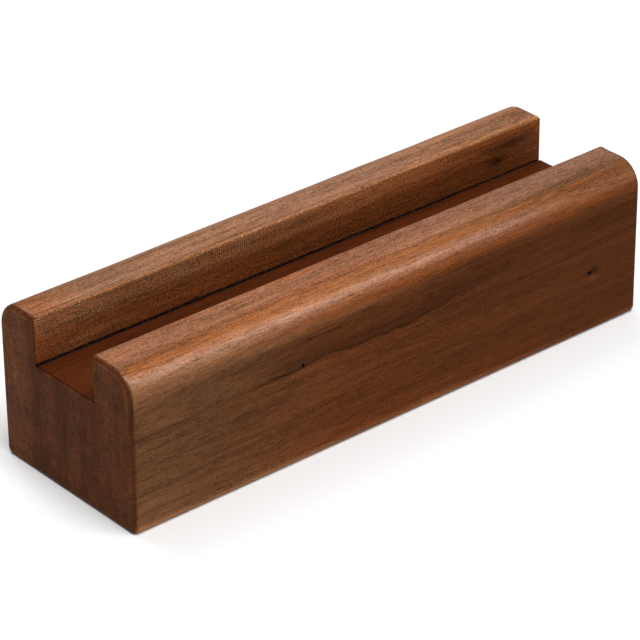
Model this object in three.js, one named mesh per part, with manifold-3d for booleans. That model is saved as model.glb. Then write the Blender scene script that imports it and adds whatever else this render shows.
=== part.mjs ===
// Table number holder: a low wooden block, glued up from two staves set side by
// side, with one straight slot along its top that a card or sign stands in.
// Millimetres, +X along the block, +Y to the back, +Z up.
// The origin is at the middle of the base.

import * as THREE from 'three';
import { mergeVertices } from 'three/addons/utils/BufferGeometryUtils.js';
import Module from 'manifold-3d';

// The block.
const LENGTH = 152;
const WIDTH = 47.2;
const HEIGHT = 39.7;

// The slot, in the middle of the width and open at both ends.
const SLOT_WIDTH = 21.1;
const SLOT_DEPTH = 11.7;

// The glued joint between the staves, a little behind the middle of the width.
const SEAM_Y = 1.05;
const GLUE_THICKNESS = 0.15;

// Rounded edges: the two long top edges, the two long base edges, the edges
// around both ends, and the lightly sanded edges of the slot.
const TOP_ROUND = 6.3;
const BASE_ROUND = 1.6;
const END_ROUND = 1.3;
const SLOT_ROUND = 0.5;

// The shallow saw line in the slot's floor, along the foot of the rear wall.
const SAW_LINE_WIDTH = 0.8;
const SAW_LINE_DEPTH = 0.4;

// Facets in a quarter turn.
const TOP_FACETS = 12;
const SMALL_FACETS = 6;

// Room that a cutting solid has beyond the wood.
const OVERCUT = 5;

const QUARTER = Math.PI / 2;
const SLOT_FLOOR = HEIGHT - SLOT_DEPTH;
const SLOT_HALF = SLOT_WIDTH / 2;

const wasm = await Module();
wasm.setup();

// A shape drawn across the block, in Y and Z, runs along X once extruded.
const ACROSS_TO_ALONG = new THREE.Matrix4().makeBasis(
  new THREE.Vector3(0, 1, 0),
  new THREE.Vector3(0, 0, 1),
  new THREE.Vector3(1, 0, 0),
);

function solidFromGeometry(geometry) {
  const bare = geometry.clone();
  bare.deleteAttribute('normal');
  bare.deleteAttribute('uv');
  const merged = mergeVertices(bare);
  return new wasm.Manifold(new wasm.Mesh({
    numProp: 3,
    vertProperties: new Float32Array(merged.attributes.position.array),
    triVerts: new Uint32Array(merged.index.array),
  }));
}

function geometryFromSolid(solid) {
  const mesh = solid.getMesh();
  const geometry = new THREE.BufferGeometry();
  geometry.setAttribute('position', new THREE.BufferAttribute(mesh.vertProperties, 3));
  geometry.setIndex(new THREE.BufferAttribute(mesh.triVerts, 1));
  geometry.computeVertexNormals();
  return geometry;
}

// Extrudes a shape along X over the block's whole length. The outline draws in
// by endRound at both ends, or flares out there where endRound is negative.
function extrudeAlong(points, endRound) {
  const reach = Math.abs(endRound);
  const geometry = new THREE.ExtrudeGeometry(new THREE.Shape(points), {
    depth: LENGTH - 2 * reach,
    bevelThickness: reach,
    bevelSize: endRound,
    bevelOffset: -endRound,
    bevelSegments: SMALL_FACETS,
  });
  geometry.translate(0, 0, reach - LENGTH / 2);
  geometry.applyMatrix4(ACROSS_TO_ALONG);
  return solidFromGeometry(geometry);
}

// Points along an arc, both ends included.
function arc(y, z, radius, start, end, facets) {
  const points = [];
  for (let i = 0; i <= facets; i += 1) {
    const angle = start + (end - start) * i / facets;
    points.push(new THREE.Vector2(y + radius * Math.cos(angle), z + radius * Math.sin(angle)));
  }
  return points;
}

// A box between two corners.
function box(low, high) {
  const size = high.map((value, axis) => value - low[axis]);
  const geometry = new THREE.BoxGeometry(...size);
  geometry.translate(...low.map((value, axis) => value + size[axis] / 2));
  return solidFromGeometry(geometry);
}

// The whole bar before the slot is cut, with all its outer edges rounded.
function makeBar() {
  const half = WIDTH / 2;
  const topY = half - TOP_ROUND;
  const topZ = HEIGHT - TOP_ROUND;
  const baseY = half - BASE_ROUND;
  return extrudeAlong([
    ...arc(topY, topZ, TOP_ROUND, 0, QUARTER, TOP_FACETS),
    ...arc(-topY, topZ, TOP_ROUND, QUARTER, 2 * QUARTER, TOP_FACETS),
    ...arc(-baseY, BASE_ROUND, BASE_ROUND, 2 * QUARTER, 3 * QUARTER, SMALL_FACETS),
    ...arc(baseY, BASE_ROUND, BASE_ROUND, 3 * QUARTER, 4 * QUARTER, SMALL_FACETS),
  ], END_ROUND);
}

// What the slot takes away, with the sanding of its top and end edges.
function makeSlotCut() {
  const lipY = SLOT_HALF + SLOT_ROUND;
  const lipZ = HEIGHT - SLOT_ROUND;
  const above = HEIGHT + OVERCUT;
  return extrudeAlong([
    new THREE.Vector2(-SLOT_HALF, SLOT_FLOOR),
    new THREE.Vector2(SLOT_HALF, SLOT_FLOOR),
    ...arc(lipY, lipZ, SLOT_ROUND, 2 * QUARTER, QUARTER, SMALL_FACETS),
    new THREE.Vector2(lipY, above),
    new THREE.Vector2(-lipY, above),
    ...arc(-lipY, lipZ, SLOT_ROUND, QUARTER, 0, SMALL_FACETS),
  ], -SLOT_ROUND);
}

function makeSawLineCut() {
  const end = LENGTH / 2 + OVERCUT;
  return box(
    [-end, SLOT_HALF - SAW_LINE_WIDTH, SLOT_FLOOR - SAW_LINE_DEPTH],
    [end, SLOT_HALF, SLOT_FLOOR + SAW_LINE_DEPTH],
  );
}

// The part of the block between two planes across its width.
function sliceOf(block, lowY, highY) {
  const end = LENGTH / 2 + OVERCUT;
  const slab = box([-end, lowY, -OVERCUT], [end, highY, HEIGHT + OVERCUT]);
  return block.intersect(slab);
}

function makeNode(name, solid, color, roughness) {
  const material = new THREE.MeshStandardMaterial({ color, roughness, metalness: 0 });
  const mesh = new THREE.Mesh(geometryFromSolid(solid), material);
  mesh.name = name;
  return mesh;
}

const block = makeBar().subtract(makeSlotCut()).subtract(makeSawLineCut());
const seamFront = SEAM_Y - GLUE_THICKNESS / 2;
const seamRear = SEAM_Y + GLUE_THICKNESS / 2;
const outside = WIDTH / 2 + OVERCUT;

const group = new THREE.Group();
group.add(makeNode('rear_stave', sliceOf(block, seamRear, outside), 0x6f4429, 0.45));
group.add(makeNode('front_stave', sliceOf(block, -outside, seamFront), 0x653a22, 0.45));
group.add(makeNode('glue_line', sliceOf(block, seamFront, seamRear), 0x3a2015, 0.6));

export default group;
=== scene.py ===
"""Table number holder: a slotted wooden block, glued up from two staves.

The block lies along X with its slot on top, its front to -Y and its base on Z = 0. The
staves are remade with fine edges and a rough saw line; the glue film keeps its own shape.
"""

import math
from collections import namedtuple

import bmesh
import bpy
from mathutils import Matrix, Vector, noise


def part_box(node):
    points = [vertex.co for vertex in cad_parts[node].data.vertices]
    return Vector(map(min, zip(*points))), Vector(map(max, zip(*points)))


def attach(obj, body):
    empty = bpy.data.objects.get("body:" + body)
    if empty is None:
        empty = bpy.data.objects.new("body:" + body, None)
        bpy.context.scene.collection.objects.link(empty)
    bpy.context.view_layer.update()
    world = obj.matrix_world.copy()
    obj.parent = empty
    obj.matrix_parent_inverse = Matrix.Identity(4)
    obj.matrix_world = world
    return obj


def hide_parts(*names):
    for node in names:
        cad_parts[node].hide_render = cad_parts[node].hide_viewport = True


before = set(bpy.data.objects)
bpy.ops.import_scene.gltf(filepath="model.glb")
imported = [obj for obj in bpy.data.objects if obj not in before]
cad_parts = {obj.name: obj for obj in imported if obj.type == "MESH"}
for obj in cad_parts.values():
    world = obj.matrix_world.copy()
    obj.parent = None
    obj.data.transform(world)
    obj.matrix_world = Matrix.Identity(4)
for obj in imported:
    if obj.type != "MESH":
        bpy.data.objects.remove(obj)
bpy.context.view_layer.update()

MM = 0.001

# The block, as the frame has it, in millimetres.
REAR_LOW, REAR_HIGH = (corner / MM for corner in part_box("rear_stave"))
FRONT_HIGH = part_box("front_stave")[1] / MM
GLUE_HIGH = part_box("glue_line")[1] / MM
HALF_LENGTH, HALF_WIDTH, HEIGHT = REAR_HIGH
SLOT_FLOOR = GLUE_HIGH.z
REAR_SEAM = REAR_LOW.y
FRONT_SEAM = -FRONT_HIGH.y

# The rest of the section, in millimetres.
SLOT_HALF = 10.55
TOP_ROUND = 6.3
BASE_ROUND = 1.6
END_ROUND = 1.3
SLOT_ROUND = 0.5
SANDED = 0.06
SAW_LINE_WIDTH = 0.8
SAW_LINE_DEPTH = 0.4

# The torn fibres that stand in the saw line, in millimetres.
FIBRE_COUNT = 800
FIBRE_LENGTH = 0.62
FIBRE_RADIUS = 0.055
FIBRE_SPREAD = (0.4, 0.36, 0.14)
FIBRE_DROP = 0.12
FIBRE_END_GAP = 1.2

# Small holes in the wood: the middle of each, on the face that shows it, in millimetres.
PIN_KNOT = (60.1, -HALF_WIDTH, 16.0)
STAR_CHECK = (-28.4, -HALF_WIDTH, 24.6)
WALL_KNOT = (61.9, SLOT_HALF, 31.9)

# Spacing of the mesh, in millimetres and in steps to a quarter turn.
STATION_STEP = 0.5
FACE_STEP = 1.5
TOP_STEPS = 14
SMALL_STEPS = 6
END_STEPS = 8
PIT_MARGIN = 1.2
PIT_CUTS = 5


# ---------------------------------------------------------------- shader maths


class Value:
    """One output socket; + - * / on it add the Math nodes that work them out."""

    def __init__(self, tree, socket):
        self.tree = tree
        self.socket = socket

    def math(self, operation, *others):
        return self.tree.add("ShaderNodeMath", {"operation": operation}, [self, *others])

    def reflected(self, operation, other):
        return self.tree.add("ShaderNodeMath", {"operation": operation}, [other, self])

    def __add__(self, other):
        return self.math("ADD", other)

    def __sub__(self, other):
        return self.math("SUBTRACT", other)

    def __mul__(self, other):
        return self.math("MULTIPLY", other)

    def __truediv__(self, other):
        return self.math("DIVIDE", other)

    def __radd__(self, other):
        return self.reflected("ADD", other)

    def __rsub__(self, other):
        return self.reflected("SUBTRACT", other)

    def __rmul__(self, other):
        return self.reflected("MULTIPLY", other)

    def __abs__(self):
        return self.math("ABSOLUTE")


class MaterialTree:
    """A material's node tree, with the few patterns that the finishes share."""

    def __init__(self, name):
        self.material = bpy.data.materials.new(name)
        self.material.use_nodes = True
        self.nodes = self.material.node_tree.nodes
        self.links = self.material.node_tree.links
        self.nodes.clear()

    def add(self, kind, settings=None, sockets=(), out=0):
        """Adds a node, sets it up, fills its sockets and returns one of its outputs."""
        node = self.nodes.new(kind)
        for key, value in (settings or {}).items():
            if key == "stops":
                self.set_stops(node.color_ramp, value)
            else:
                setattr(node, key, value)
        pairs = sockets.items() if isinstance(sockets, dict) else enumerate(sockets)
        for key, value in pairs:
            if isinstance(value, Value):
                self.links.new(value.socket, node.inputs[key])
            else:
                node.inputs[key].default_value = value
        return Value(self, node.outputs[out])

    @staticmethod
    def set_stops(ramp, stops):
        while len(ramp.elements) < len(stops):
            ramp.elements.new(1.0)
        for element, (place, color) in zip(ramp.elements, stops):
            element.position = place
            element.color = (*color, 1.0)

    def show(self, shader):
        """Ends the tree in this shader and gives the material."""
        output = self.nodes.new("ShaderNodeOutputMaterial")
        self.links.new(shader.socket, output.inputs["Surface"])
        return self.material

    def vector_math(self, operation, *vectors, out="Vector"):
        return self.add("ShaderNodeVectorMath", {"operation": operation}, vectors, out)

    def scaled(self, vector, factor):
        """A vector or a colour times a number."""
        sockets = {0: vector, "Scale": factor}
        return self.add("ShaderNodeVectorMath", {"operation": "SCALE"}, sockets)

    def position(self):
        """The point on the piece, in millimetres."""
        return self.scaled(self.add("ShaderNodeTexCoord", out="Object"), 1 / MM)

    def parts(self, vector):
        return [self.add("ShaderNodeSeparateXYZ", {}, [vector], out=axis) for axis in range(3)]

    def stretched(self, point, lengths, seed):
        """The point measured in grain lengths along each axis, moved by a seed."""
        return self.add("ShaderNodeMapping", {}, {
            "Vector": point,
            "Location": (seed * 7.31, seed * 3.77, seed * 5.19),
            "Scale": tuple(1 / length for length in lengths),
        })

    def noise(self, point, lengths, seed, detail=2.0, roughness=0.5, bend=0.0, out=0):
        return self.add("ShaderNodeTexNoise", {}, {
            "Vector": self.stretched(point, lengths, seed),
            "Scale": 1.0,
            "Detail": detail,
            "Roughness": roughness,
            "Distortion": bend,
        }, out)

    def step(self, value, low, high):
        """0 below low, 1 above high, smooth between; turned round where low is above high."""
        settings = {"interpolation_type": "SMOOTHSTEP"}
        return self.add("ShaderNodeMapRange", settings, [value, low, high])

    def hump(self, value, middle, half_width):
        """1 at the middle, falling smoothly to 0 at half_width on either side of it."""
        return self.step(abs(value - middle), half_width, 0.0)

    def jittered(self, point, amount, seed):
        """The point, moved about by up to the amount each way, for ragged edges."""
        wander = self.noise(point, (1.6, 0.8, 0.8), seed, out="Color")
        centred = self.vector_math("SUBTRACT", wander, (0.5, 0.5, 0.5))
        return self.vector_math("MULTIPLY_ADD", centred, (2 * amount,) * 3, point)

    def patch(self, point, center, reach, soft):
        """1 in the middle of an ellipsoid and 0 outside it; soft is the share that fades."""
        offset = self.vector_math("SUBTRACT", point, center)
        radii = self.vector_math("DIVIDE", offset, reach)
        radius = self.vector_math("LENGTH", radii, out="Value")
        return self.step(radius, 1.0, 1.0 - soft)

    def mix(self, factor, first, second, blend="MIX"):
        """Two colours mixed; a Mix node's colours are sockets 6 and 7, and its output 2."""
        settings = {"data_type": "RGBA", "blend_type": blend, "clamp_factor": True}
        return self.add("ShaderNodeMix", settings, {0: factor, 6: first, 7: second}, out=2)


# --------------------------------------------------------------- wood finishes

# Wood colours at their lightest, before a face's painted light and shade.
RED_BROWN = (0.262, 0.0765, 0.0220, 1)
TAN_BROWN = (0.268, 0.1150, 0.0490, 1)
ORANGE_BROWN = (0.330, 0.1150, 0.0330, 1)
# The saw line's groove is painted near black as its shade, flecked with grey saw dust.
GROOVE_SHADE_BLACK = (0.0130, 0.0044, 0.0024, 1)
SAW_DUST_GREY = (0.0560, 0.0390, 0.0340, 1)
KNOT_DARK = (0.0090, 0.0036, 0.0028, 1)

# Tints that redden the slot's floor, partly its own rough-sawn wood and partly painted light
# bounced round the slot, and the rounded edges of the ends.
FLOOR_SAWN_AND_PAINTED_BOUNCE_TINT = (1.0, 0.80, 0.78, 1)
END_EDGE_TINT = (1.0, 0.80, 0.72, 1)

# Painted light and shade: how light the wood is against how far its face turns upward, over the
# rounded top edge, with a painted highlight where the rounding faces the light and painted shade
# down the side.
PAINTED_TURN_SHADES = [
    (0.00, 0.52), (0.09, 0.62), (0.17, 0.68), (0.34, 0.71), (0.42, 0.80), (0.50, 0.91),
    (0.57, 1.00), (0.71, 0.95), (0.82, 0.87), (0.91, 0.90), (0.98, 0.82), (1.00, 0.84),
]

# Painted shade for the faces that don't turn: the slot's wall near its top and, darker, near its
# floor, the slot's floor, partly its own rough-sawn wood, and the ends, partly their darker end
# grain.
WALL_PAINTED_SHADE = 0.90
LOW_WALL_PAINTED_SHADE = 0.60
FLOOR_SAWN_AND_PAINTED_SHADE = 0.27
END_GRAIN_AND_PAINTED_SHADE = 0.303

# How far apart the cutters left their cross marks, and how far the painted shade of the saw line's
# groove reaches over the slot's floor and up its wall, in millimetres.
CHATTER_PITCH = 0.56
GROOVE_SHADE_WIDTH = 0.95
GROOVE_SHADE_HEIGHT = 0.28

# The grain's shade, and the patterns in it that the shine and the bumps follow.
Grain = namedtuple("Grain", "shade broad fibre speck pore")

# A stave's own markings with its painted light and shade: its shade, how tan and how orange it is,
# its dark spots, the painted shade of its saw line and its cross marks.
Figure = namedtuple("Figure", "shade tan orange spots charred marks")


class StavePlace:
    """The point on a stave, and parts of its surface, each as a value from 0 to 1.

    The parts fade into each other: every step goes from where a part starts to where it is
    full, in millimetres or in how far the face turns along X, Y or Z.
    """

    def __init__(self, tree):
        self.point = tree.position()
        self.ragged = tree.jittered(self.point, 0.6, seed=10)
        self.crisp = tree.jittered(self.point, 0.18, seed=26)
        self.x, self.y, self.z = tree.parts(self.point)
        normal = tree.add("ShaderNodeTexCoord", out="Normal")
        facing_x, facing_y, self.facing_up = tree.parts(normal)
        self.end = tree.step(abs(facing_x), 0.45, 0.9)
        self.end_turn = tree.hump(abs(facing_x), 0.55, 0.42)
        # A thin band where each end starts to round, painted lighter as a highlight.
        self.end_highlight_band = tree.hump(abs(facing_x), 0.993, 0.0065)
        self.along = 1 - self.end
        self.in_slot = (
            tree.step(abs(self.y), SLOT_HALF + 0.35, SLOT_HALF + 0.1)
            * tree.step(self.z, SLOT_FLOOR - 1.2, SLOT_FLOOR - 0.6)
        )
        self.slot_floor = self.in_slot * tree.step(self.facing_up, 0.5, 0.8) * self.along
        self.slot_wall = self.in_slot * tree.step(abs(facing_y), 0.5, 0.8)
        self.slot_low = tree.step(self.z, HEIGHT - 3.6, HEIGHT - 6.6)
        self.outer = (1 - self.in_slot) * self.along
        self.side = self.outer * tree.step(self.facing_up, 0.25, 0.02)
        self.top = self.outer * tree.step(self.facing_up, 0.86, 0.97)
        self.rounding = self.outer * tree.hump(self.facing_up, 0.62, 0.42)
        # The slot's lip is made lighter, partly as sanded wood and partly as a painted highlight.
        self.lip = (
            tree.step(abs(self.y), SLOT_HALF + 1.0, SLOT_HALF + 0.6)
            * tree.step(self.z, HEIGHT - 1.0, HEIGHT - 0.5)
            * tree.step(self.facing_up, 0.995, 0.9)
        )
        self.right = tree.step(self.x, -30, HALF_LENGTH)


def beside(mark, right, up):
    """A point on a mark's own face, moved along and up it, in millimetres."""
    return mark[0] + right, mark[1], mark[2] + up


def grain_pattern(tree, at):
    """Broad streaks, fine fibres and pores, and the shade that they give together."""
    streak = tree.noise(at.point, (40, 1.7, 1.4), seed=3, detail=3, roughness=0.6)
    strand = tree.noise(at.point, (13, 0.62, 0.62), seed=6, detail=3, roughness=0.65)
    band = tree.noise(at.point, (80, 6, 5), seed=4, detail=2)
    fibre = tree.noise(at.point, (4.5, 0.36, 0.36), seed=5, detail=3, roughness=0.75)
    speck = tree.noise(at.point, (0.55, 0.34, 0.34), seed=9, detail=2, roughness=0.8)
    cell = tree.add("ShaderNodeTexVoronoi", {"feature": "F1"}, {
        "Vector": tree.stretched(at.point, (4.6, 0.62, 0.62), seed=7),
        "Scale": 1.0,
    })
    crowding = tree.noise(at.point, (22, 2, 2), seed=8, detail=1)
    pore = tree.step(cell, 0.26, 0.13) * tree.step(crowding, 0.40, 0.60)

    band_depth = 0.60 + 0.85 * at.top
    broad = 0.95 * (streak - 0.5) + 0.70 * (strand - 0.5) + band_depth * (band - 0.5)
    pore_depth = 0.36 - 0.20 * at.top - 0.14 * at.side
    fine = 1.40 * (fibre - 0.5) + 1.45 * (speck - 0.5) - pore_depth * pore

    calm_side = at.side * at.right
    broad = broad * (1 + 0.15 * at.slot_wall - 0.1 * at.top + 0.2 * at.end - 0.3 * calm_side)
    fine = fine * (1 + 0.25 * at.slot_wall + 0.25 * at.top - 0.15 * at.end - 0.2 * calm_side)
    roughness = 2.6 * at.slot_wall * (1 - 0.5 * at.right) + 0.5 * at.top
    rough_sawn = 1 + roughness * (speck - 0.5)
    return Grain((1 + broad + fine) * rough_sawn, broad, fibre, speck, pore)


def chatter(tree, at, place):
    """Fine cross marks left by the cutters, -1 to 1, where place is 1."""
    waver = tree.noise(at.point, (4, 3, 3), seed=21, detail=1)
    wave = ((at.x / CHATTER_PITCH + 1.1 * waver) * (2 * math.pi)).math("SINE")
    return wave * place


def growth_line(tree, at):
    """The wavering line along the front, the dark heart above it and the light strip below."""
    x = at.x
    waver = tree.noise(at.point, (5, 60, 60), seed=12, detail=3, roughness=0.6)
    line_height = (
        23.7
        + 0.8 * tree.hump(x, -23, 10)
        + 1.5 * tree.step(x, 2, 20)
        + 0.9 * tree.step(x, 20, 36)
        + 2.2 * (waver - 0.5)
    )
    above = at.z - line_height
    line_reach = (0.35 + 0.65 * tree.step(x, -44, -34)) * tree.step(x, 26, 2)
    line = tree.step(above, -0.10, 0.06) * tree.step(above, 0.95, 0.12) * line_reach
    heart_reach = tree.step(x, -46, -32) * tree.step(x, 50, 14)
    heart = tree.step(above, -0.1, 0.5) * tree.step(above, 8.5, 2) * heart_reach
    strip = tree.hump(above, -2.4, 2.6) * tree.hump(x, -4, 34)
    return line, heart, strip


def front_holes(tree, at):
    """The dark spots of the front's pin knot and check, and the ring and glow by the knot."""
    knot_core = tree.patch(at.crisp, PIN_KNOT, (0.86, 2.0, 0.80), 0.45)
    knot_dash = tree.patch(at.crisp, beside(PIN_KNOT, 1.8, 0.5), (1.1, 2.0, 0.55), 1.0)
    check = tree.patch(at.crisp, STAR_CHECK, (0.55, 2.0, 1.2), 0.8)
    check_cross = tree.patch(at.crisp, beside(STAR_CHECK, -0.1, -0.1), (1.5, 2.0, 0.50), 0.9)
    spots = knot_core + 0.6 * knot_dash + 0.95 * check + 0.6 * check_cross
    ring = tree.patch(at.ragged, beside(PIN_KNOT, 0.8, 0.3), (3.2, 3.0, 1.9), 1.0)
    glow = tree.patch(at.ragged, beside(PIN_KNOT, 1.1, -1.6), (3.4, 3.0, 1.7), 1.0)
    return spots, ring, glow


def front_figure(tree, at):
    """The front stave: a growth line, a check and a pin knot on its front, an amber rounding, and
    painted light and shade: a painted reflection of the floor along its base, painted shade lower
    on its front and towards the right, a painted highlight on its shoulder and a painted pool of
    light on its top.
    """
    x, y, z = at.x, at.y, at.z
    front = at.side
    line, heart, strip = growth_line(tree, at)
    spots, knot_ring, knot_glow = front_holes(tree, at)
    heart_right = tree.hump(x, 66, 20) * tree.hump(z, 28.4, 3.2)
    left_band = tree.hump(z, 23.3, 2.4) * tree.step(x, -54, -66)
    ribbon = tree.noise(at.point, (15, 9, 0.5), seed=13, detail=2, bend=0.4)
    dark_ribbon = tree.step(ribbon, 0.53, 0.66) * tree.hump(x, -47, 20) * tree.hump(z, 14.6, 3.4)
    flame = tree.noise(at.point, (24, 9, 0.9), seed=14, detail=3)
    red_flame = tree.step(flame, 0.48, 0.66) * tree.hump(x, 26, 40) * tree.hump(z, 14.0, 9.0)

    dashes = tree.noise(at.point, (5, 0.32, 0.32), seed=15, detail=1)
    dash_places = (tree.hump(x, 6, 12) + tree.hump(x, 50, 16)) * tree.hump(y, -20.6, 3.0)
    rounding_dash = tree.step(dashes, 0.60, 0.70) * dash_places
    amber = tree.noise(at.point, (34, 0.9, 0.9), seed=16, detail=3)
    amber_place = tree.hump(y, -19.7, 2.6) * tree.step(z, HEIGHT - 2.6, HEIGHT - 1.6)
    amber_band = amber_place * tree.step(amber, 0.40, 0.60)
    smudge = (
        tree.patch(at.ragged, (14.5, -12.0, HEIGHT), (4.5, 1.1, 2.0), 1.0)
        + tree.patch(at.ragged, (29.5, -11.6, HEIGHT), (3.0, 1.0, 2.0), 1.0)
        + tree.patch(at.ragged, (44.0, -14.2, HEIGHT), (9.0, 1.6, 2.0), 1.0)
    )

    # Painted reflection of the floor: a light warm band along the base of the front, weaker round
    # the middle and to the right.
    base_reflection_run = (1 - 0.45 * tree.hump(x, -8, 22)) * (1 - 0.55 * tree.step(x, 5, 70))
    base_floor_reflection = tree.step(z, 2.6, 0.9) * base_reflection_run
    pale_run = (1 - 0.6 * tree.hump(x, -16, 28)) * (1 - 0.6 * tree.step(x, 10, 70))
    pale_foot = tree.step(z, 8.5, 3.0) * pale_run
    top_edge = HEIGHT - TOP_ROUND
    # Painted shade: the front darker below its rounding, and more so to the right.
    near_rounding = tree.step(z, top_edge - 3.2, top_edge + 0.2) * (1 - 0.6 * tree.step(x, -14, 30))
    on_front = tree.step(y, 0, -1)
    # A painted highlight widening the rounding's sheen on its shoulder, towards the left.
    shoulder_highlight = tree.hump(at.facing_up, 0.75, 0.16) * tree.step(x, 26, -16) * on_front
    left_end = tree.step(x, -54, -68)
    # A painted pool of light along the top, brightest round x = -26 and dimmer at both ends.
    top_light_pool = (
        0.11 * tree.hump(x, -26, 24) - 0.08 * tree.step(x, -44, -60) - 0.05 * tree.step(x, 5, 30)
    )

    shade = (
        (1 - 0.47 * line * front)
        * (1 - 0.34 * heart * front)
        * (1 - 0.20 * (heart_right + left_band) * front)
        * (1 - 0.24 * dark_ribbon * front)
        * (1 - 0.44 * knot_ring * front)
        * (1 - 0.45 * rounding_dash)
        * (1 - 0.22 * smudge * at.top)
        * (1 + front * (1.35 * base_floor_reflection + 0.27 * pale_foot))
        * (1 - front * 0.28 * (1 - near_rounding))
        # Painted shade falling off towards the right end.
        * (1.12 - 0.32 * at.right)
        * (1 + front * (0.15 * left_end - 0.07 * tree.hump(x, 22, 34)))
        * (1 + front * (0.02 * red_flame + 0.22 * knot_glow + 0.07 * strip))
        * (1 + at.top * top_light_pool)
        * (1 + 0.24 * shoulder_highlight * at.outer)
    )
    tan_side = 1.2 * tree.step(x, 4, -HALF_LENGTH) - 0.2 + 0.9 * base_floor_reflection
    low_turn = at.outer * tree.step(at.facing_up, 0.72, 0.42)
    tan = (
        tan_side * low_turn
        + 0.45 * near_rounding * front
        + at.top * (0.32 + 0.45 * at.right)
        + (0.6 + 0.3 * shoulder_highlight) * at.rounding
        + 0.25 * at.slot_wall
    )
    return Figure(
        shade=shade,
        tan=tan,
        orange=0.62 * amber_band + front * (0.45 * red_flame + 0.75 * knot_glow),
        spots=spots,
        charred=0.0,
        marks=chatter(tree, at, at.top * tree.step(x, 14, 40) * tree.step(y, -17.5, -14.5)),
    )


def groove_shade(tree, at):
    """Painted shade: a near-black line along the groove in the slot's rear corner, and softer
    painted shade spreading from it.
    """
    jag = tree.noise(at.point, (0.9, 0.45, 0.45), seed=19, detail=3, roughness=0.7)
    corner_distance = (SLOT_HALF - at.y) / GROOVE_SHADE_WIDTH + (at.z - SLOT_FLOOR) / GROOVE_SHADE_HEIGHT
    from_corner = corner_distance + 2.6 * (jag - 0.5) + 0.3 * at.right
    inside = at.along * tree.step(abs(at.y), SLOT_HALF + 0.3, SLOT_HALF + 0.1)
    groove_dark = tree.step(from_corner, 1.0, 0.6) * inside
    # Painted shade spreading out from the slot's rear corner.
    corner_shade = tree.step(from_corner, 2.2, 0.9) * at.in_slot
    return groove_dark, corner_shade


def rear_figure(tree, at):
    """The rear stave: tan above and red below in the slot, with a knot, the saw line painted near
    black as the shade of its groove, and a painted pool of light on its top.
    """
    x, y, z = at.x, at.y, at.z
    wall = at.slot_wall
    groove_dark, corner_shade = groove_shade(tree, at)
    cloud = tree.noise(at.point, (16, 3, 2.4), seed=17, detail=3, bend=0.3)
    pale_cloud = tree.step(cloud, 0.42, 0.66) * tree.hump(x, -63, 12) * wall
    pale_streak = tree.hump(x, 33, 34) * tree.hump(z, 37.2, 2.4) * wall
    smoke = tree.patch(at.ragged, (66, SLOT_HALF, 35.5), (14, 3, 2.3), 1.0) * wall
    knot_core = tree.patch(at.crisp, WALL_KNOT, (1.7, 2.0, 1.2), 0.75)
    knot_tail = tree.patch(at.ragged, beside(WALL_KNOT, -1.5, 1.3), (3.2, 2.0, 0.6), 1.0)
    knot_ring = tree.patch(at.ragged, beside(WALL_KNOT, -0.4, 0.3), (5.5, 3.0, 2.5), 1.0)

    dashes = tree.noise(at.point, (3.5, 0.3, 0.3), seed=18, detail=1)
    left_dash = tree.step(dashes, 0.57, 0.68) * tree.hump(x, -68, 9) * tree.hump(y, 16.0, 2.2)
    left_glow = tree.step(x, -60, -70) * at.top
    bruise = tree.patch(at.ragged, (58, 15.2, HEIGHT), (10, 2.6, 2.0), 1.0) * at.top
    dull_band = tree.hump(x, -52, 10) * at.top
    edge_line = tree.hump(y, SLOT_HALF + 1.05, 0.32) * tree.step(x, 30, 0) * at.top

    shade = (
        (1 + 0.30 * pale_cloud)
        * (1 + 0.36 * pale_streak)
        * (1 - 0.68 * smoke)
        * (1 - 0.50 * knot_ring * wall)
        * (1 - 0.35 * left_dash * at.top)
        * (1 - 0.10 * bruise)
        * (1 - 0.09 * dull_band)
        * (1 - 0.42 * edge_line)
        * (1 - 0.22 * corner_shade)
        * (1.07 - 0.03 * at.right)
        * (1 + wall * (0.07 * tree.hump(x, -26, 30) - 0.23 * tree.step(x, 30, 62)))
        # A painted pool of light on the top round x = -26, and the top lighter towards the right
        # end.
        * (1 + at.top * (0.13 * tree.hump(x, -26, 24) + 0.30 * tree.step(x, 24, 50)))
        * (1 - 0.08 * wall * at.slot_low * tree.step(x, -46, -60))
    )
    tan = (
        at.top * (0.85 - 0.4 * left_glow)
        + wall * (1 - at.slot_low) * (0.75 - 0.55 * at.right)
        - wall * (0.35 * at.right + 0.5 * knot_ring)
        + 0.6 * pale_cloud
        + 0.4 * at.rounding
        + at.side * 0.45
    )
    top_marks = at.top * tree.hump(x, 22, 22)
    wall_marks = wall * tree.hump(x, -22, 42) * (1 - 0.7 * at.slot_low)
    return Figure(
        shade=shade,
        tan=tan,
        orange=0.45 * left_glow + 0.25 * pale_streak,
        spots=at.in_slot * (0.56 * knot_core + 0.3 * knot_tail),
        charred=groove_dark,
        marks=chatter(tree, at, top_marks + wall_marks),
    )


def end_shade(tree, at, end_rings):
    """How light the ends are: darker end grain with painted shade, growth rings, pits in the end
    grain and a painted highlight along the edge where each end starts to round, stronger near the
    top.
    """
    sway = tree.noise(at.point, (30, 4, 14), seed=20, detail=2)
    blotch = tree.noise(at.point, (30, 3.4, 9), seed=27, detail=3, roughness=0.6)
    ring_line = tree.noise(at.point, (30, 0.8, 16), seed=28, detail=3, roughness=0.65, bend=0.3)
    pit = tree.noise(at.point, (0.7, 0.28, 0.28), seed=22, detail=2)
    rings = 1
    for place, half_width, strength in end_rings:
        rings = rings - strength * tree.hump(at.y + 3.0 * (sway - 0.5), place, half_width)
    rings = rings + 1.2 * (blotch - 0.5) + 0.8 * (ring_line - 0.5)
    pitted = 1 - 0.35 * tree.step(pit, 0.64, 0.74)
    end_edge_highlight = (0.20 + 0.30 * tree.step(at.z, 25, 33)) * at.end_highlight_band
    return END_GRAIN_AND_PAINTED_SHADE * rings * pitted + end_edge_highlight


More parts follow.
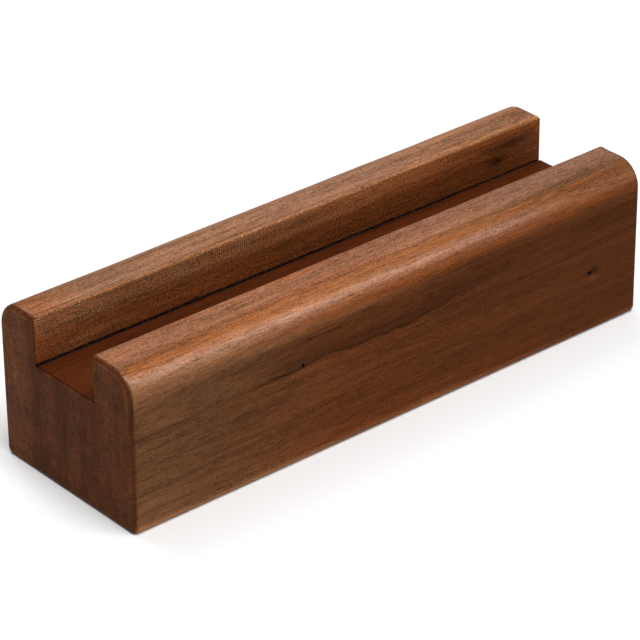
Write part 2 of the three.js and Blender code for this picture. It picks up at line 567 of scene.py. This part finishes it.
def face_shade(tree, at, end_rings):
    """Painted light and shade by face: how light each face is, darker where it turns to an end, and
    lighter on the slot's lip, partly sanded wood and partly a painted highlight.
    """
    stops = [(place, (level,) * 3) for place, level in PAINTED_TURN_SHADES]
    outside = tree.add("ShaderNodeValToRGB", {"stops": stops}, [at.facing_up]) * at.outer
    wall = at.slot_wall * (WALL_PAINTED_SHADE - (WALL_PAINTED_SHADE - LOW_WALL_PAINTED_SHADE) * at.slot_low)
    floor = at.slot_floor * FLOOR_SAWN_AND_PAINTED_SHADE
    cut = at.outer + at.slot_wall + at.slot_floor
    ends = at.end * (1 - cut) * end_shade(tree, at, end_rings)
    dark_turn = 1 - (0.28 + 0.32 * tree.step(at.z, 24, 33)) * at.end_turn
    return (outside + wall + floor + ends) * dark_turn * (1 + 0.38 * at.lip)


def wood_color(tree, at, figure, level):
    """Red, tan and orange wood at this level of light, with its dark spots and the saw line's
    groove painted near black as shade.
    """
    wander = tree.noise(at.point, (28, 2.2, 1.8), seed=23, detail=3, roughness=0.6)
    # The ends' painted highlight band is also made tanner.
    end_tan = at.end * (0.36 * tree.step(at.y, 11, 15) - 0.10) + 0.7 * at.end_highlight_band
    tan = figure.tan + end_tan + at.lip * 0.9 + 1.3 * (wander - 0.5)
    color = tree.mix(tan, RED_BROWN, TAN_BROWN)
    color = tree.mix(figure.orange, color, ORANGE_BROWN)
    # The slot's floor reddened, partly rough-sawn wood and partly painted bounce light.
    color = tree.mix(at.slot_floor, color, FLOOR_SAWN_AND_PAINTED_BOUNCE_TINT, blend="MULTIPLY")
    color = tree.mix(at.end_turn, color, END_EDGE_TINT, blend="MULTIPLY")
    color = tree.scaled(color, level)
    color = tree.mix(figure.spots, color, KNOT_DARK)
    dust = tree.noise(at.point, (0.5, 0.3, 0.3), seed=25, detail=2, roughness=0.8)
    groove_dark = tree.mix(tree.step(dust, 0.54, 0.70), GROOVE_SHADE_BLACK, SAW_DUST_GREY)
    return tree.mix(figure.charred, color, groove_dark)


def oil_shine(tree, at, grain, figure):
    """How much the oil shines: most on the rounding, broken up along the grain and its pores."""
    rubbed = tree.noise(at.point, (14, 1.6, 1.6), seed=24, detail=3, roughness=0.6)
    rounding = 0.9 * at.rounding * (1 - 0.78 * tree.step(at.x, 22, 58))
    satin = rounding + 0.48 * at.top * (1 - at.rounding)
    glitter = 1 + 3.4 * (grain.fibre - 0.5) + 1.6 * (rubbed - 0.5) + 3.6 * (grain.speck - 0.5)
    kept = (1 - 0.7 * grain.pore) * (1 - 0.6 * figure.orange) * (1 - figure.spots)
    return satin * glitter * (1 + 1.2 * grain.broad) * kept


def stave_finish(name, figure_of, end_rings):
    """Oiled wood, cut from a solid pattern so that its grain runs on round every edge.

    figure_of gives the stave's own markings; end_rings are the growth rings that show on
    its ends, each with its place across the block, its half width and its strength.
    """
    tree = MaterialTree(name)
    at = StavePlace(tree)
    grain = grain_pattern(tree, at)
    figure = figure_of(tree, at)
    marks_shade = 1 + 0.34 * figure.marks * (1 - at.lip)
    # The level carries painted light and shade by face and place, as well as the wood's own tone.
    level = face_shade(tree, at, end_rings) * grain.shade * figure.shade * marks_shade
    relief = 0.6 * (grain.fibre - 0.5) - grain.pore + 0.35 * figure.marks
    bump = tree.add("ShaderNodeBump", {}, {
        "Strength": 0.6,
        "Distance": 0.03 * MM,
        "Height": relief,
    })
    shader = tree.add("ShaderNodeBsdfPrincipled", {}, {
        "Base Color": wood_color(tree, at, figure, level),
        "Roughness": 0.46 + 0.16 * (grain.fibre - 0.5) + 0.2 * grain.pore + 0.1 * at.end,
        "Normal": bump,
        "IOR": 1.45,
        "Specular IOR Level": 0.01,
        "Coat Weight": 0.01 + 0.06 * at.end + oil_shine(tree, at, grain, figure),
        "Coat Roughness": 0.38,
    })
    return tree.show(shader)


# -------------------------------------------------------------- small finishes


def glue_finish():
    """Cured glue under the same oil: dull, dark red-brown, with fine breaks."""
    tree = MaterialTree("cured_glue_finish")
    speck = tree.noise(tree.position(), (2.5, 0.3, 0.9), seed=11, detail=3)
    bump = tree.add("ShaderNodeBump", {}, {
        "Strength": 0.4,
        "Distance": 0.02 * MM,
        "Height": speck,
    })
    shader = tree.add("ShaderNodeBsdfPrincipled", {}, {
        "Base Color": tree.mix(speck, (0.030, 0.0095, 0.0045, 1), (0.085, 0.026, 0.011, 1)),
        "Roughness": 0.5 + 0.2 * speck,
        "Normal": bump,
        "Specular IOR Level": 0.03,
    })
    return tree.show(shader)


def torn_fibre_finish():
    """Fibres painted near black as in the groove's shade, some of them grey with dust from the saw.
    """
    tree = MaterialTree("torn_fibre_finish")
    dust = tree.noise(tree.position(), (0.8, 0.4, 0.4), seed=31, detail=2, roughness=0.7)
    dusty = tree.step(dust, 0.46, 0.66)
    bump = tree.add("ShaderNodeBump", {}, {
        "Strength": 0.5,
        "Distance": 0.01 * MM,
        "Height": dust,
    })
    shader = tree.add("ShaderNodeBsdfPrincipled", {}, {
        "Base Color": tree.mix(dusty, (0.016, 0.0062, 0.0040, 1), (0.120, 0.092, 0.088, 1)),
        "Roughness": 0.6 + 0.2 * dust,
        "Normal": bump,
        "Specular IOR Level": 0.1,
    })
    return tree.show(shader)


# ------------------------------------------------------------------- the staves


def ripple(x, length, seed):
    """Smooth noise from -1 to 1 along the block."""
    return noise.noise(Vector((x / length, seed * 9.7, seed * 4.3)))


def spaced(start, end, count):
    """Points along a straight run, its end left out."""
    (y0, z0), (y1, z1) = start, end
    return [(y0 + (y1 - y0) * i / count, z0 + (z1 - z0) * i / count) for i in range(count)]


def turned(center, radius, start, end, steps):
    """Points and inward directions along an arc in degrees, its end left out."""
    for i in range(steps):
        angle = math.radians(start + (end - start) * i / steps)
        cos, sin = math.cos(angle), math.sin(angle)
        yield center[0] + radius * cos, center[1] + radius * sin, -cos, -sin


def steps_for(run):
    return max(2, round(run / FACE_STEP))


def saw_line_size(x):
    """How wide the saw line is at this place, and the height of its ragged bottom."""
    narrowing = 0.85 - 0.3 * x / HALF_LENGTH
    width = SAW_LINE_WIDTH * (narrowing + 0.3 * ripple(x, 1.1, 5) + 0.2 * ripple(x, 6, 6))
    bottom = SLOT_FLOOR - SAW_LINE_DEPTH * (1 + 0.5 * ripple(x, 1.7, 7))
    return width, bottom


def stave_section(x, seam, lip, saw_line):
    """The stave's outline across the grain, as if it were the rear one.

    Each point is (y, z, in_y, in_z, reach): its place, the way into the wood, and how
    far from the end of the block the end's rounding starts there.
    """
    top_edge = HEIGHT - TOP_ROUND
    outer_edge = HALF_WIDTH - TOP_ROUND
    base_edge = HALF_WIDTH - BASE_ROUND
    sanded = SANDED * (1 + ripple(x, 22, 1))
    points = []

    def add_run(start, end, count, inward, reach):
        points.extend((y, z, *inward, reach) for y, z in spaced(start, end, count))

    add_run((seam, 0), (base_edge, 0), steps_for(HALF_WIDTH - seam), (0, 1), END_ROUND)
    for place in turned((base_edge, BASE_ROUND), BASE_ROUND, -90, 0, SMALL_STEPS):
        points.append((*place, END_ROUND))
    add_run(
        (HALF_WIDTH, BASE_ROUND), (HALF_WIDTH, top_edge),
        steps_for(top_edge), (-1, 0), END_ROUND,
    )
    for y, z, in_y, in_z in turned((outer_edge, top_edge), TOP_ROUND, 0, 90, TOP_STEPS):
        worn = sanded * 4 * in_y * in_z
        points.append((y + in_y * worn, z + in_z * worn, in_y, in_z, END_ROUND))
    add_run(
        (outer_edge, HEIGHT), (SLOT_HALF + lip, HEIGHT),
        steps_for(outer_edge - SLOT_HALF), (0, -1), END_ROUND,
    )
    lip_turn = turned((SLOT_HALF + lip, HEIGHT - lip), lip, 90, 180, SMALL_STEPS)
    for i, (y, z, _, _) in enumerate(lip_turn):
        reach = END_ROUND + (SLOT_ROUND - END_ROUND) * i / SMALL_STEPS
        points.append((y, z, SLOT_ROUND / reach, -END_ROUND / reach, reach))

    floor_start = SLOT_HALF - FACE_STEP / 2
    corner = SLOT_FLOOR
    if saw_line:
        width, corner = saw_line_size(x)
        floor_start = SLOT_HALF - width
    wall_steps = steps_for(HEIGHT - SLOT_FLOOR)
    add_run((SLOT_HALF, HEIGHT - lip), (SLOT_HALF, corner), wall_steps, (1, 0), SLOT_ROUND)
    points.append((SLOT_HALF, corner, 1, -1, SLOT_ROUND))
    if saw_line:
        groove_start = (SLOT_HALF - width / 3, corner)
        groove_end = (floor_start, corner)
        add_run(groove_start, groove_end, 2, (0, -1), SLOT_ROUND)
        add_run(groove_end, (floor_start, SLOT_FLOOR), 2, (0, -1), SLOT_ROUND)
    floor_steps = steps_for(SLOT_HALF - seam)
    add_run((floor_start, SLOT_FLOOR), (seam, SLOT_FLOOR), floor_steps, (0, -1), SLOT_ROUND)
    points.append((seam, SLOT_FLOOR, 0, -1, SLOT_ROUND))

    seam_steps = steps_for(SLOT_FLOOR)
    for i, (y, z) in enumerate(spaced((seam, SLOT_FLOOR), (seam, 0), seam_steps)):
        if i > 0:
            reach = SLOT_ROUND + (END_ROUND - SLOT_ROUND) * i / seam_steps
            points.append((y, z, 0, 0, reach))
    return points


def stave_stations():
    """Where the outline is set along the block: (x, how far round the end's edge, in radians)."""
    inner = HALF_LENGTH - END_ROUND
    count = round(2 * inner / STATION_STEP)
    turns = [math.pi / 2 * i / END_STEPS for i in range(1, END_STEPS + 1)]
    yield from ((-inner, turn) for turn in reversed(turns))
    yield from ((-inner + 2 * inner * i / count, 0.0) for i in range(count + 1))
    yield from ((inner, turn) for turn in turns)


def sink_pit(shape, center, reach, depth):
    """Makes the mesh finer round a small hole in a wall that faces the front, and sinks it."""
    middle = Vector(center)

    def inside(place, spare):
        offset = place / MM - middle
        on_wall = abs(offset.y) < 0.1
        return on_wall and abs(offset.x) < reach[0] + spare and abs(offset.z) < reach[1] + spare

    near = [face for face in shape.faces if inside(face.calc_center_median(), PIT_MARGIN)]
    edges = list({edge for face in near for edge in face.edges})
    bmesh.ops.subdivide_edges(shape, edges=edges, cuts=PIT_CUTS, use_grid_fill=True)
    for vertex in shape.verts:
        if inside(vertex.co, 0):
            offset = vertex.co / MM - middle
            radius = math.hypot(offset.x / reach[0], offset.z / reach[1])
            vertex.co.y += MM * depth * max(0.0, 1 - radius ** 2) ** 2


def make_stave(name, side, seam, lip_at, saw_line, pits):
    """Sweeps the outline along the grain, closes both ends and sinks the small holes."""
    shape = bmesh.new()
    rings = []
    for x, turn in stave_stations():
        end = math.copysign(1, x)
        ring = []
        for y, z, in_y, in_z, reach in stave_section(x, seam, lip_at(x), saw_line):
            inset = reach * (1 - math.cos(turn))
            along = x
            if turn:
                along = end * (HALF_LENGTH - reach + reach * math.sin(turn))
            elif abs(x) > HALF_LENGTH - END_ROUND - 1e-6:
                along = end * (HALF_LENGTH - reach)
            place = Vector((along, side * (y + in_y * inset), z + in_z * inset))
            ring.append(shape.verts.new(place * MM))
        rings.append(ring)
    count = len(rings[0])
    for ring, following in zip(rings, rings[1:]):
        for i in range(count):
            j = (i + 1) % count
            shape.faces.new((ring[i], ring[j], following[j], following[i]))
    shape.faces.new(rings[0])
    shape.faces.new(rings[-1])
    bmesh.ops.recalc_face_normals(shape, faces=shape.faces)
    for center, reach, depth in pits:
        sink_pit(shape, center, reach, depth)
    mesh = bpy.data.meshes.new(name)
    shape.to_mesh(mesh)
    shape.free()
    mesh.shade_smooth()
    mesh.set_sharp_from_angle(angle=math.radians(35))
    stave = bpy.data.objects.new(name, mesh)
    bpy.context.scene.collection.objects.link(stave)
    return stave


def rear_lip(x):
    """The rounding of the rear wall's inner edge, sanded larger towards the right end."""
    return SLOT_ROUND + 0.35 * (x / HALF_LENGTH + 1) / 2 + 0.05 * ripple(x, 20, 2)


def front_lip(x):
    """The rounding of the front wall's inner edge, much the same all along."""
    return SLOT_ROUND + 0.08 * ripple(x, 12, 3)


# -------------------------------------------------------------- the torn fibres


def fibre_tree():
    """Geometry nodes that strew tapered fibres along a straight line."""
    tree = bpy.data.node_groups.new("torn_fibres", "GeometryNodeTree")
    inputs = {
        "Start": "NodeSocketVector",
        "End": "NodeSocketVector",
        "Spread": "NodeSocketVector",
        "Count": "NodeSocketInt",
        "Fibre Length": "NodeSocketFloat",
        "Fibre Radius": "NodeSocketFloat",
        "Seed": "NodeSocketInt",
        "Material": "NodeSocketMaterial",
    }
    sockets = tree.interface
    sockets.new_socket("Geometry", in_out="OUTPUT", socket_type="NodeSocketGeometry")
    for name, kind in inputs.items():
        sockets.new_socket(name, in_out="INPUT", socket_type=kind)
    given = tree.nodes.new("NodeGroupInput").outputs

    def add(kind, settings, sockets, out=0):
        node = tree.nodes.new(kind)
        for key, value in settings.items():
            setattr(node, key, value)
        for key, value in sockets.items():
            if isinstance(value, bpy.types.NodeSocket):
                tree.links.new(value, node.inputs[key])
            else:
                node.inputs[key].default_value = value
        return node.outputs[out]

    def random_vector(low, high, seed):
        sockets = {0: low, 1: high, "Seed": seed}
        return add("FunctionNodeRandomValue", {"data_type": "FLOAT_VECTOR"}, sockets)

    def seed_after(count):
        return add("ShaderNodeMath", {"operation": "ADD"}, {0: given["Seed"], 1: count})

    line = add("GeometryNodeMeshLine", {"mode": "END_POINTS"}, {
        "Count": given["Count"], "Start Location": given["Start"], "Offset": given["End"],
    })
    scatter = random_vector((-1, -1, -1), (1, 1, 1), given["Seed"])
    offset = add(
        "ShaderNodeVectorMath", {"operation": "MULTIPLY"}, {0: scatter, 1: given["Spread"]},
    )
    places = add("GeometryNodeSetPosition", {}, {"Geometry": line, "Offset": offset})
    fibre = add("GeometryNodeMeshCone", {}, {
        "Vertices": 5, "Side Segments": 2,
        "Radius Top": 0.0, "Radius Bottom": given["Fibre Radius"], "Depth": given["Fibre Length"],
    })
    least_lean = (0.0, math.radians(62), math.radians(-38))
    most_lean = (0.0, math.radians(118), math.radians(38))
    lean = random_vector(least_lean, most_lean, seed_after(1.0))
    size = add("FunctionNodeRandomValue", {"data_type": "FLOAT"}, {
        2: 0.35, 3: 1.0, "Seed": seed_after(2.0),
    }, out=1)
    strewn = add("GeometryNodeInstanceOnPoints", {}, {
        "Points": places, "Instance": fibre, "Rotation": lean, "Scale": size,
    })
    solid = add("GeometryNodeRealizeInstances", {}, {"Geometry": strewn})
    finished = add("GeometryNodeSetMaterial", {}, {
        "Geometry": solid, "Material": given["Material"],
    })
    tree.links.new(finished, tree.nodes.new("NodeGroupOutput").inputs["Geometry"])
    return tree


def make_torn_fibres():
    """The fibres that the saw left standing in its line, as one plain mesh."""
    tree = fibre_tree()
    fibres = bpy.data.objects.new("saw_line_fibres", bpy.data.meshes.new("saw_line_fibres"))
    bpy.context.scene.collection.objects.link(fibres)
    strewing = fibres.modifiers.new("torn_fibres", "NODES")
    strewing.node_group = tree
    reach = HALF_LENGTH - FIBRE_END_GAP
    middle = SLOT_HALF - SAW_LINE_WIDTH / 2
    level = SLOT_FLOOR - FIBRE_DROP
    sizes = {
        "Start": Vector((-reach, middle, level)) * MM,
        "End": Vector((reach, middle, level)) * MM,
        "Spread": Vector(FIBRE_SPREAD) * MM,
        "Count": FIBRE_COUNT,
        "Fibre Length": FIBRE_LENGTH * MM,
        "Fibre Radius": FIBRE_RADIUS * MM,
        "Seed": 4,
        "Material": torn_fibre_finish(),
    }
    for socket in tree.interface.items_tree:
        if socket.in_out == "INPUT":
            strewing[socket.identifier] = sizes[socket.name]
    evaluated = fibres.evaluated_get(bpy.context.evaluated_depsgraph_get())
    mesh = bpy.data.meshes.new_from_object(evaluated)
    fibres.modifiers.remove(strewing)
    fibres.data = mesh
    return fibres


# ------------------------------------------------------------------- the pieces

# Each growth ring on an end: its place across the block, its half width and how dark it is,
# below 0 for a light one.
REAR_END_RINGS = [(18.4, 8.5, -0.48), (10.9, 2.8, 0.14), (6.0, 3.4, -0.12), (2.6, 1.6, 0.06)]
FRONT_END_RINGS = [(-5.4, 2.6, 0.20), (-1.8, 2.0, -0.10), (1.0, 1.2, 0.20), (-16.5, 5.5, -0.16)]

# Each small hole: its middle, its reach along and up the face, and its depth.
REAR_PITS = [(WALL_KNOT, (0.9, 0.7), 0.16)]
FRONT_PITS = [(PIN_KNOT, (0.65, 0.6), 0.35), (STAR_CHECK, (0.30, 1.1), 0.25)]

rear_finish = stave_finish("rear_stave_finish", rear_figure, REAR_END_RINGS)
front_finish = stave_finish("front_stave_finish", front_figure, FRONT_END_RINGS)
rear_stave = make_stave("rear_stave_wood", 1, REAR_SEAM, rear_lip, True, REAR_PITS)
front_stave = make_stave("front_stave_wood", -1, FRONT_SEAM, front_lip, False, FRONT_PITS)
for stave, node, finish in (
    (rear_stave, "rear_stave", rear_finish),
    (front_stave, "front_stave", front_finish),
):
    stave.data.materials.append(finish)
    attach(stave, "root")
    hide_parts(node)
    node + "_wood"

torn_fibres = make_torn_fibres()
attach(torn_fibres, "root")

glue_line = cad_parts["glue_line"]
glue_line.data.materials.clear()
glue_line.data.materials.append(glue_finish())


# ------------------------------------------------------------------- the studio

# The paper under the block, and the even light of the room.
FLOOR_RADIUS = 4.0
PAPER_WHITE = (0.9, 0.9, 0.9, 1)
ROOM_LIGHT = 0.17

# Each softbox: name, azimuth and elevation of its middle in degrees, distance and sides in
# metres, and power in watts. Azimuth 0 is in front of the block and 90 to its right.
SOFTBOXES = [
    ("front_softbox", -14, 70, 2.4, (1.3, 1.3), 42),
    ("top_softbox", 0, 90, 2.4, (1.4, 1.4), 9),
    ("rear_softbox", 180, 60, 2.4, (1.2, 1.2), 15),
    ("right_softbox", 40, 32, 2.8, (1.2, 1.2), 17),
    ("far_softbox", 140, 30, 2.8, (1.4, 1.0), 4.5),
]


def direction(azimuth, elevation):
    """The way from the block to a place round it, from angles in radians."""
    return Vector((
        math.sin(azimuth) * math.cos(elevation),
        -math.cos(azimuth) * math.cos(elevation),
        math.sin(elevation),
    ))


def make_floor():
    tree = MaterialTree("floor_paper")
    paper = tree.show(tree.add("ShaderNodeBsdfDiffuse", {}, {"Color": PAPER_WHITE}))
    shape = bmesh.new()
    bmesh.ops.create_circle(shape, cap_ends=True, segments=96, radius=FLOOR_RADIUS)
    mesh = bpy.data.meshes.new("floor")
    shape.to_mesh(mesh)
    shape.free()
    mesh.materials.append(paper)
    floor = bpy.data.objects.new("floor", mesh)
    bpy.context.scene.collection.objects.link(floor)


def make_softbox(name, azimuth, elevation, distance, size, power):
    """A rectangular area light that faces the block."""
    light = bpy.data.lights.new(name, "AREA")
    light.shape = "RECTANGLE"
    light.size, light.size_y = size
    light.energy = power
    holder = bpy.data.objects.new(name, light)
    place = distance * direction(math.radians(azimuth), math.radians(elevation))
    holder.location = place
    holder.rotation_euler = (-place).to_track_quat("-Z", "Y").to_euler()
    bpy.context.scene.collection.objects.link(holder)


def make_room_light():
    world = bpy.data.worlds.new("studio")
    world.use_nodes = True
    background = world.node_tree.nodes["Background"]
    background.inputs["Color"].default_value = (1, 1, 1, 1)
    background.inputs["Strength"].default_value = ROOM_LIGHT
    bpy.context.scene.world = world


def make_camera():
    """A long lens, to the left of the front and looking down on the block."""
    azimuth = math.radians(-40.191)
    elevation = math.radians(29.363)
    roll = math.radians(-0.527)
    distance = 784.87 * MM
    offset_right, offset_up = -2.578 * MM, -4.040 * MM
    aim_height = 20.267 * MM
    back = direction(azimuth, elevation)
    level = Vector((math.cos(azimuth), math.sin(azimuth), 0))
    right = math.cos(roll) * level + math.sin(roll) * back.cross(level)
    up = back.cross(right)
    aim = Vector((0, 0, aim_height)) + offset_right * right + offset_up * up
    data = bpy.data.cameras.new("camera")
    data.sensor_width = 36
    data.lens = 191.95
    data.clip_start = 0.01
    camera = bpy.data.objects.new("camera", data)
    axes = Matrix((right, up, back)).transposed().to_4x4()
    camera.matrix_world = Matrix.Translation(aim + distance * back) @ axes
    bpy.context.scene.collection.objects.link(camera)
    bpy.context.scene.camera = camera


make_floor()
make_room_light()
for softbox in SOFTBOXES:
    make_softbox(*softbox)
make_camera()
bpy.context.scene.view_settings.view_transform = "Standard"
